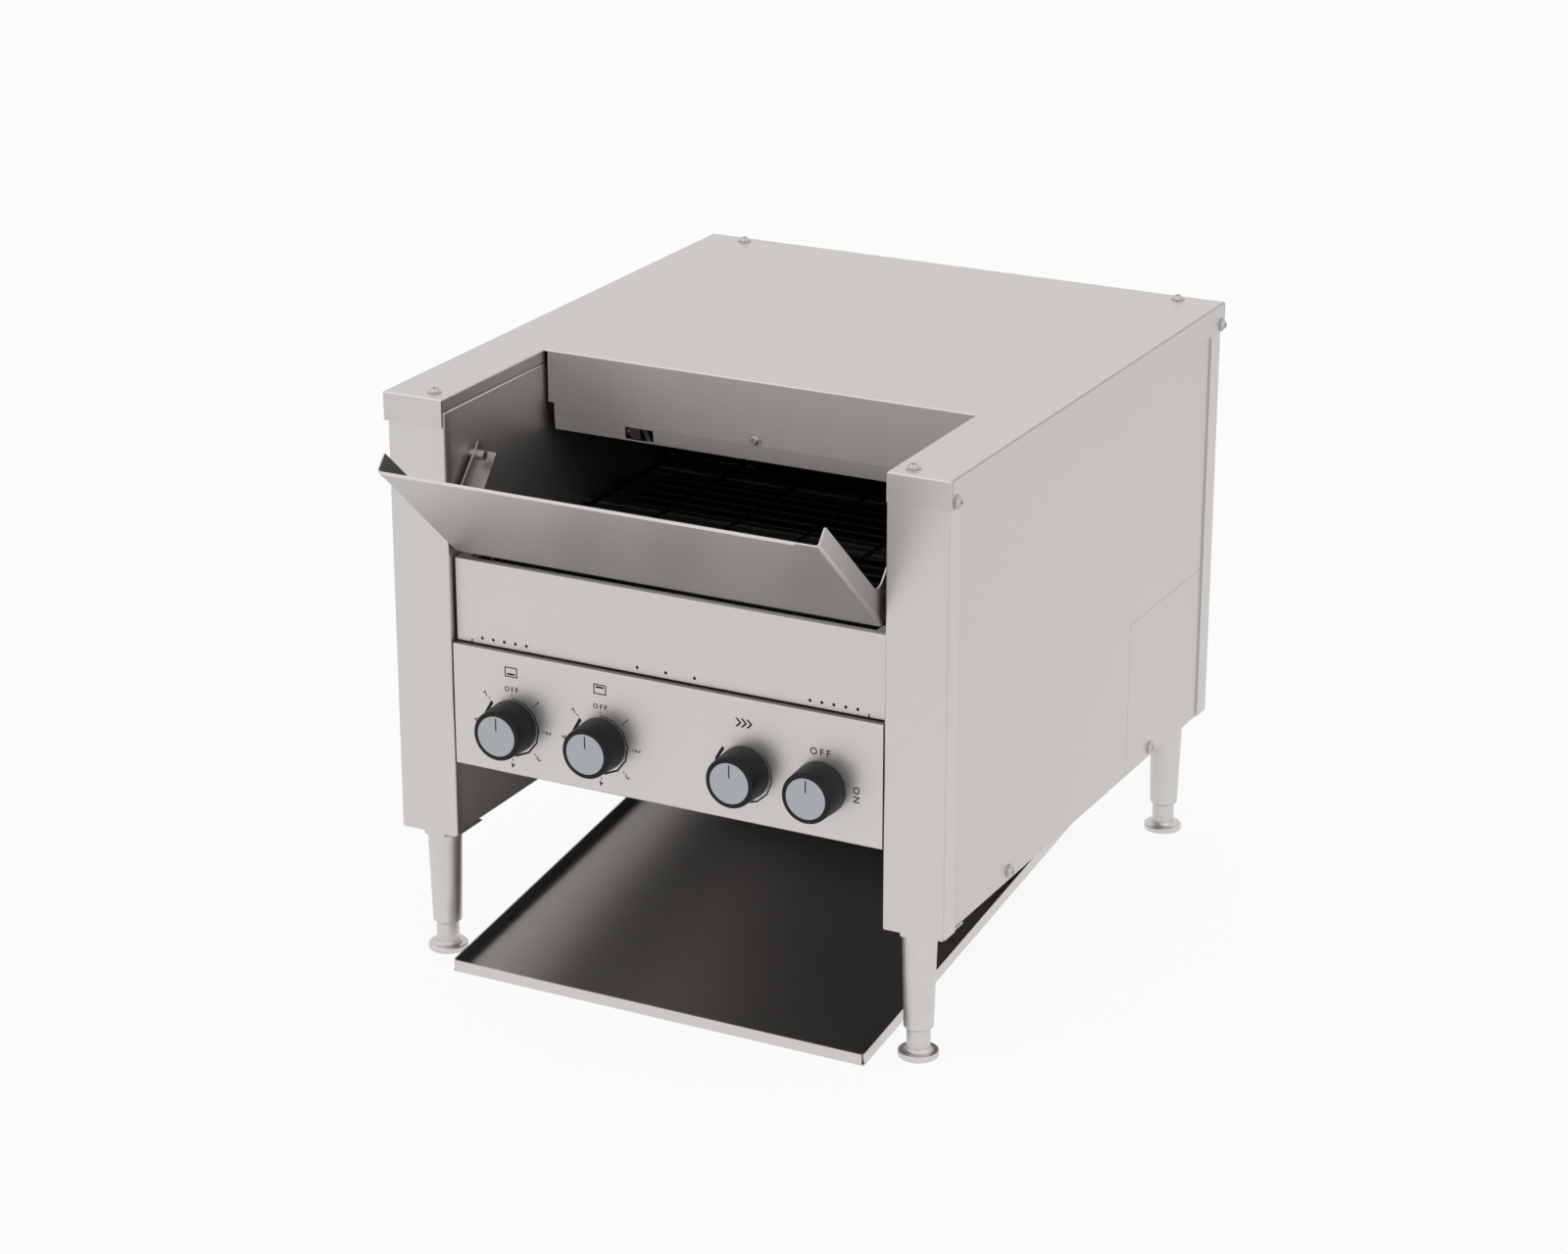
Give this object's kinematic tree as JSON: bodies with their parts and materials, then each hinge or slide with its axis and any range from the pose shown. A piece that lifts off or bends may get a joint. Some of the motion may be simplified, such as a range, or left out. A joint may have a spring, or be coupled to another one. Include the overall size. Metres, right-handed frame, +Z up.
{
  "type": "conveyor toaster",
  "caption": "Countertop conveyor toaster with a tilting feed chute, wire belt between heater tubes, rotary controls, adjustable legs and a pull-out toast slide.",
  "frame": {"origin": "on the table, under the middle of the overall box", "axes": "+Z up, +Y towards the back of the machine, +X to the user's right"},
  "size_m": [0.4616, 0.603, 0.4483],
  "materials": {
    "stainless": "satin stainless sheet",
    "bright_steel": "bright drawn wire and turned steel",
    "dark_steel": "oiled dark steel",
    "sintered_bronze": "matt sintered bronze",
    "quartz": "milky quartz",
    "ceramic": "unglazed steatite ceramic",
    "motor_grey": "grey paint",
    "black_plastic": "moulded nylon",
    "moulded_control": "moulded phenolic",
    "knob_black": "fine matt black",
    "cap_aluminium": "spun satin disc",
    "leg_metal": "satin cast and turned metal",
    "coated_tray": "satin stainless sheet"
  },
  "bodies": {
    "casing": {"back_panel": "stainless", "bottom_heat_control": "moulded_control", "casing_screws": "bright_steel", "chute_pivot_screws": "bright_steel", "control_box_floor": "stainless", "control_panel": "stainless", "conveyor_belt": "bright_steel", "cord_gland": "black_plastic", "drive_chain": "dark_steel", "fan_housing": "black_plastic", "gearmotor": "motor_grey", "heat_shield": "stainless", "heater_end_caps": "ceramic", "heater_tubes": "quartz", "left_front_post": "stainless", "left_inner_wall": "stainless", "left_side_panel": "stainless", "legs": "leg_metal", "limit_probe": "bright_steel", "lower_reflector": "stainless", "power_switch": "moulded_control", "rear_deflector": "stainless", "rear_leg_brackets": "stainless", "right_front_post": "stainless", "right_inner_wall": "stainless", "right_side_panel": "stainless", "service_panel": "stainless", "shaft_bearings": "sintered_bronze", "slide_runners": "stainless", "speed_control": "moulded_control", "terminal_block": "black_plastic", "top_cover": "stainless", "top_heat_control": "moulded_control", "upper_front_panel": "stainless", "upper_reflector": "stainless"},
    "conveyor_drive": {"drive_shaft": "bright_steel", "drive_sprockets": "dark_steel"},
    "idler": {"idler_shaft": "bright_steel", "idler_sprockets": "dark_steel"},
    "motor_output": {"motor_sprocket": "dark_steel"},
    "fan": {"fan_rotor": "black_plastic"},
    "chute": {"feed_chute": "stainless"},
    "slide": {"discharge_slide": "coated_tray"},
    "bottom_heat_dial": {"bottom_heat_knob": "knob_black", "bottom_heat_knob_cap": "cap_aluminium", "bottom_heat_spindle": "bright_steel"},
    "top_heat_dial": {"top_heat_knob": "knob_black", "top_heat_knob_cap": "cap_aluminium", "top_heat_spindle": "bright_steel"},
    "speed_dial": {"speed_knob": "knob_black", "speed_knob_cap": "cap_aluminium", "speed_spindle": "bright_steel"},
    "power_dial": {"power_knob": "knob_black", "power_knob_cap": "cap_aluminium", "power_spindle": "bright_steel"},
    "front_left_foot": {"front_left_foot": "leg_metal"},
    "rear_left_foot": {"rear_left_foot": "leg_metal"},
    "front_right_foot": {"front_right_foot": "leg_metal"},
    "rear_right_foot": {"rear_right_foot": "leg_metal"}
  },
  "joints": [
    {"name": "drive_shaft_spin", "type": "hinge", "parent": "casing", "child": "conveyor_drive", "pos_m": [0, 0.1935, 0.3016], "axis": [-1, 0, 0], "continuous": true, "deforming": ["conveyor_belt", "drive_chain"]},
    {"name": "idler_shaft_spin", "type": "hinge", "parent": "casing", "child": "idler", "pos_m": [0, -0.1585, 0.3016], "axis": [-1, 0, 0], "continuous": true},
    {"name": "motor_output_spin", "type": "hinge", "parent": "casing", "child": "motor_output", "pos_m": [0.191, 0.1225, 0.215], "axis": [-1, 0, 0], "continuous": true},
    {"name": "fan_spin", "type": "hinge", "parent": "casing", "child": "fan", "pos_m": [-0.06, 0.0575, 0.17], "axis": [0, 0, 1], "continuous": true},
    {"name": "chute_tilt", "type": "hinge", "parent": "casing", "child": "chute", "pos_m": [0, -0.167, 0.3928], "axis": [-1, 0, 0], "range_deg": [0, 110]},
    {"name": "slide_pull", "type": "slide", "parent": "casing", "child": "slide", "axis": [0, -1, 0], "range_m": [0, 0.2]},
    {"name": "bottom_heat_turn", "type": "hinge", "parent": "casing", "child": "bottom_heat_dial", "pos_m": [-0.127, -0.2055, 0.2005], "axis": [0, 1, 0], "range_deg": [0, 315]},
    {"name": "top_heat_turn", "type": "hinge", "parent": "casing", "child": "top_heat_dial", "pos_m": [-0.052, -0.2055, 0.2005], "axis": [0, 1, 0], "range_deg": [0, 315]},
    {"name": "speed_turn", "type": "hinge", "parent": "casing", "child": "speed_dial", "pos_m": [0.066, -0.2055, 0.2005], "axis": [0, 1, 0], "range_deg": [0, 315]},
    {"name": "power_turn", "type": "hinge", "parent": "casing", "child": "power_dial", "pos_m": [0.127, -0.2055, 0.2005], "axis": [0, 1, 0], "range_deg": [0, 90]},
    {"name": "front_left_foot_screw", "type": "slide", "parent": "casing", "child": "front_left_foot", "axis": [0, 0, -1], "range_m": [0, 0.02]},
    {"name": "rear_left_foot_screw", "type": "slide", "parent": "casing", "child": "rear_left_foot", "axis": [0, 0, -1], "range_m": [0, 0.02]},
    {"name": "front_right_foot_screw", "type": "slide", "parent": "casing", "child": "front_right_foot", "axis": [0, 0, -1], "range_m": [0, 0.02]},
    {"name": "rear_right_foot_screw", "type": "slide", "parent": "casing", "child": "rear_right_foot", "axis": [0, 0, -1], "range_m": [0, 0.02]}
  ],
  "couplings": [
    {"joint": "idler_shaft_spin", "follows": "drive_shaft_spin", "ratio": 1},
    {"joint": "motor_output_spin", "follows": "drive_shaft_spin", "ratio": 1.6667}
  ]
}
